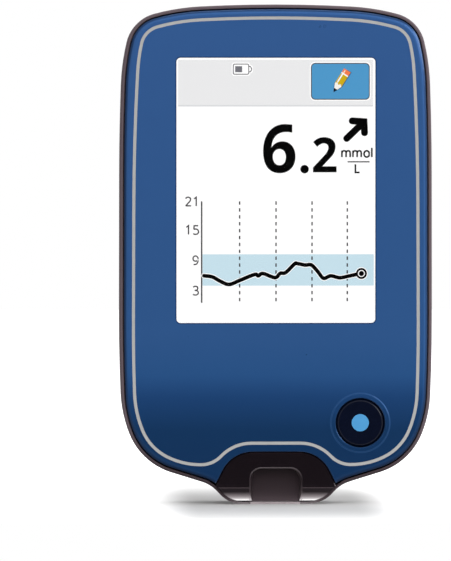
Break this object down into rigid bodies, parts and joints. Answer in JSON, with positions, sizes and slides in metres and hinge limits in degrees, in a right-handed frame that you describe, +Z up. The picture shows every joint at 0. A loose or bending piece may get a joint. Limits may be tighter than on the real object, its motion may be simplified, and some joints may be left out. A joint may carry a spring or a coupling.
{
  "type": "blood glucose meter",
  "caption": "Hand-held blood glucose meter with a touch display, a round sprung home button, a test strip port in its foot and a charging socket in its top edge",
  "frame": {"origin": "middle of the bounding box in X and Y, on the plane of the foot that it stands on", "axes": "+Z up along the case, +X to the right of someone facing the display, -Y out of the display"},
  "size_m": [0.0596, 0.016, 0.0954],
  "materials": {
    "housing": "fine matt moulded texture, dark warm grey",
    "face": "semi-gloss lacquer, blue that darkens towards the foot",
    "trim": "pale satin metallic line",
    "port_black": "polished black",
    "touch_glass": "clear cover glass",
    "foam": "black foam",
    "lcd": "display glass with polarisers",
    "chip_black": "bare chip",
    "diffuser": "white light guide",
    "tin_plate": "thin folded steel",
    "polyimide": "amber flexible circuit",
    "connector": "natural connector plastic",
    "carrier": "black moulding",
    "board": "green solder resist",
    "screw": "small plated screws",
    "ceramic": "tan ceramic",
    "pouch": "silver laminate pouch",
    "lead_red": "insulated wire",
    "ferrite": "dark grey sheet",
    "shell_steel": "tin plated steel",
    "connector_black": "black connector moulding",
    "contact": "gold plated spring metal",
    "button_cap": "satin midnight blue",
    "button_dot": "light blue lens"
  },
  "bodies": {
    "case": {"back_cover": "housing", "front_cover": "face", "trim_line": "trim", "strip_port_cover": "port_black", "touch_panel": "touch_glass", "panel_gasket": "foam", "lcd_glass": "lcd", "display_driver": "chip_black", "backlight": "diffuser", "display_tray": "tin_plate", "display_ribbon": "polyimide", "display_connector": "connector", "display_carrier": "carrier", "main_board": "board", "board_screws": "screw", "microcontroller": "chip_black", "memory_chip": "chip_black", "reader_chip": "chip_black", "power_chip": "chip_black", "crystal": "tin_plate", "chip_capacitors": "ceramic", "battery_cell": "pouch", "battery_board": "polyimide", "battery_leads": "lead_red", "battery_plug": "connector", "battery_pad": "foam", "antenna_coil": "polyimide", "ferrite_sheet": "ferrite", "usb_shell": "shell_steel", "usb_tongue": "chip_black", "strip_connector": "connector_black", "strip_contacts": "contact", "buzzer": "chip_black", "vibration_motor": "tin_plate", "switch_body": "chip_black"},
    "button": {"home_button": "button_cap", "button_dot": "button_dot", "switch_plunger": "connector"}
  },
  "joints": [
    {"name": "home_button_press", "type": "slide", "parent": "case", "child": "button", "axis": [0, 1, 0], "range_m": [0, 0.00035], "stiffness_N_per_m": 3000, "springref_m": -0.0002}
  ]
}
